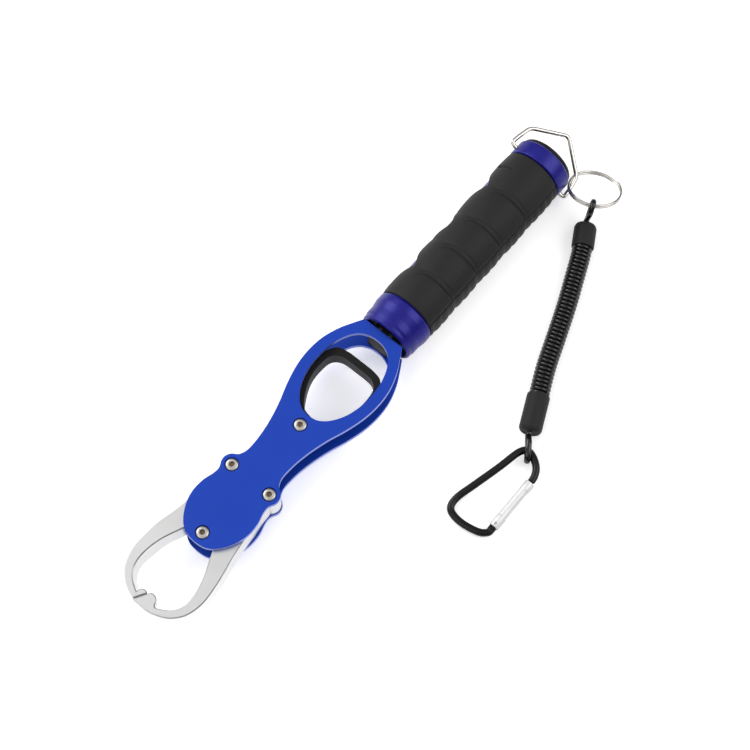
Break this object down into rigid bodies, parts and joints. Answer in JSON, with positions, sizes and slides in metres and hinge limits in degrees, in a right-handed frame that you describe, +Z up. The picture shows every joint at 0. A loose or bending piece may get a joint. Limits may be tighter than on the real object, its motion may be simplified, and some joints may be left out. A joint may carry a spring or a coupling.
{
  "type": "fish lip grip",
  "caption": "Fish lip grip with trigger-opened pincer jaws between twin plates, a swivelling spring-balance handle, wire bail and coiled lanyard with carabiner.",
  "frame": {"origin": "centre of the tool's footprint as it lies on a table, without its lanyard, at table height", "axes": "+Y from the jaw tips to the bail end, +Z up out of the front plate, +X to the side the lanyard lies on"},
  "size_m": [0.1054, 0.2761, 0.0278],
  "materials": {
    "plate_blue": "satin anodised blue",
    "tube_blue": "satin anodised violet-blue",
    "alloy": "polished",
    "steel": "polished stainless",
    "spring_steel": "bright drawn wire",
    "black_plastic": "fine satin",
    "black_rubber": "matte moulded",
    "gloss_black": "glossy extruded cord",
    "black_anodised": "satin black anodised",
    "brass": "turned",
    "signal_red": "gloss"
  },
  "bodies": {
    "handle": {"handle_tube": "tube_blue", "front_collar": "tube_blue", "front_bush": "black_plastic", "rubber_sleeve": "black_rubber", "rear_collar": "tube_blue", "end_plug": "black_plastic", "balance_spring": "spring_steel"},
    "balance": {"balance_rod": "steel", "thrust_washer": "steel", "spring_seat": "brass", "rod_nut": "steel", "scale_pointer": "signal_red"},
    "head": {"front_plate": "plate_blue", "back_plate": "plate_blue", "screw_front_head": "steel", "screw_front_left_ear": "steel", "screw_front_right_ear": "steel", "screw_front_neck": "steel", "screw_back_head": "steel", "screw_back_left_ear": "steel", "screw_back_right_ear": "steel", "screw_back_neck": "steel", "head_spacer": "steel", "neck_spacer": "steel", "left_jaw_pivot": "steel", "right_jaw_pivot": "steel", "swivel_block": "black_plastic", "block_dowel_left": "steel", "block_dowel_right": "steel", "swivel_pin_left": "steel", "swivel_pin_right": "steel", "trigger_spring": "spring_steel"},
    "trigger": {"trigger": "black_plastic", "drive_pin": "steel"},
    "right_jaw": {"right_jaw": "alloy"},
    "left_jaw": {"left_jaw": "alloy"},
    "bail": {"bail": "steel", "split_ring": "steel"},
    "lanyard": {"lanyard_upper_loop": "gloss_black", "lanyard_upper_sleeve": "black_rubber", "lanyard_coil": "gloss_black", "lanyard_lower_sleeve": "black_rubber", "lanyard_lower_loop": "gloss_black"},
    "carabiner": {"carabiner_frame": "black_anodised", "carabiner_pin": "steel"},
    "gate": {"carabiner_gate": "alloy"}
  },
  "joints": [
    {"name": "balance_draw", "type": "slide", "parent": "handle", "child": "balance", "axis": [0, -1, 0], "range_m": [0, 0.04], "stiffness_N_per_m": 3700, "deforming": ["balance_spring"]},
    {"name": "head_swivel", "type": "hinge", "parent": "balance", "child": "head", "pos_m": [0, 0.00985, 0.0139], "axis": [0, 1, 0], "continuous": true},
    {"name": "trigger_pull", "type": "slide", "parent": "head", "child": "trigger", "axis": [0, 1, 0], "range_m": [0, 0.008], "stiffness_N_per_m": 800, "deforming": ["trigger_spring"]},
    {"name": "right_jaw_open", "type": "hinge", "parent": "head", "child": "right_jaw", "pos_m": [0.01, -0.07225, 0.0139], "axis": [0, 0, 1], "range_deg": [0, 20]},
    {"name": "left_jaw_open", "type": "hinge", "parent": "head", "child": "left_jaw", "pos_m": [-0.01, -0.07225, 0.0139], "axis": [0, 0, -1], "range_deg": [0, 20]},
    {"name": "bail_swing", "type": "hinge", "parent": "handle", "child": "bail", "pos_m": [0, 0.11445, 0.0139], "axis": [0.8988, 0, -0.4384], "range_deg": [-100, 100]},
    {"name": "lanyard_swing", "type": "hinge", "parent": "bail", "child": "lanyard", "pos_m": [0.02824, 0.11679, 0.01217], "axis": [0.8782, 0.4754, -0.0529], "range_deg": [-12, 12]},
    {"name": "carabiner_swing", "type": "hinge", "parent": "lanyard", "child": "carabiner", "pos_m": [0.075, 0.014, 0.00411], "axis": [-0.952, -0.306, 0], "range_deg": [-12, 12]},
    {"name": "gate_open", "type": "hinge", "parent": "carabiner", "child": "gate", "pos_m": [0.0843, -0.01886, 0.00247], "axis": [0, -0.05, 0.9988], "range_deg": [0, 28], "stiffness_Nm_per_rad": 0.03}
  ],
  "couplings": [
    {"joint": "right_jaw_open", "follows": "trigger_pull", "rad_per_m": 43.6},
    {"joint": "left_jaw_open", "follows": "trigger_pull", "rad_per_m": 43.6}
  ]
}
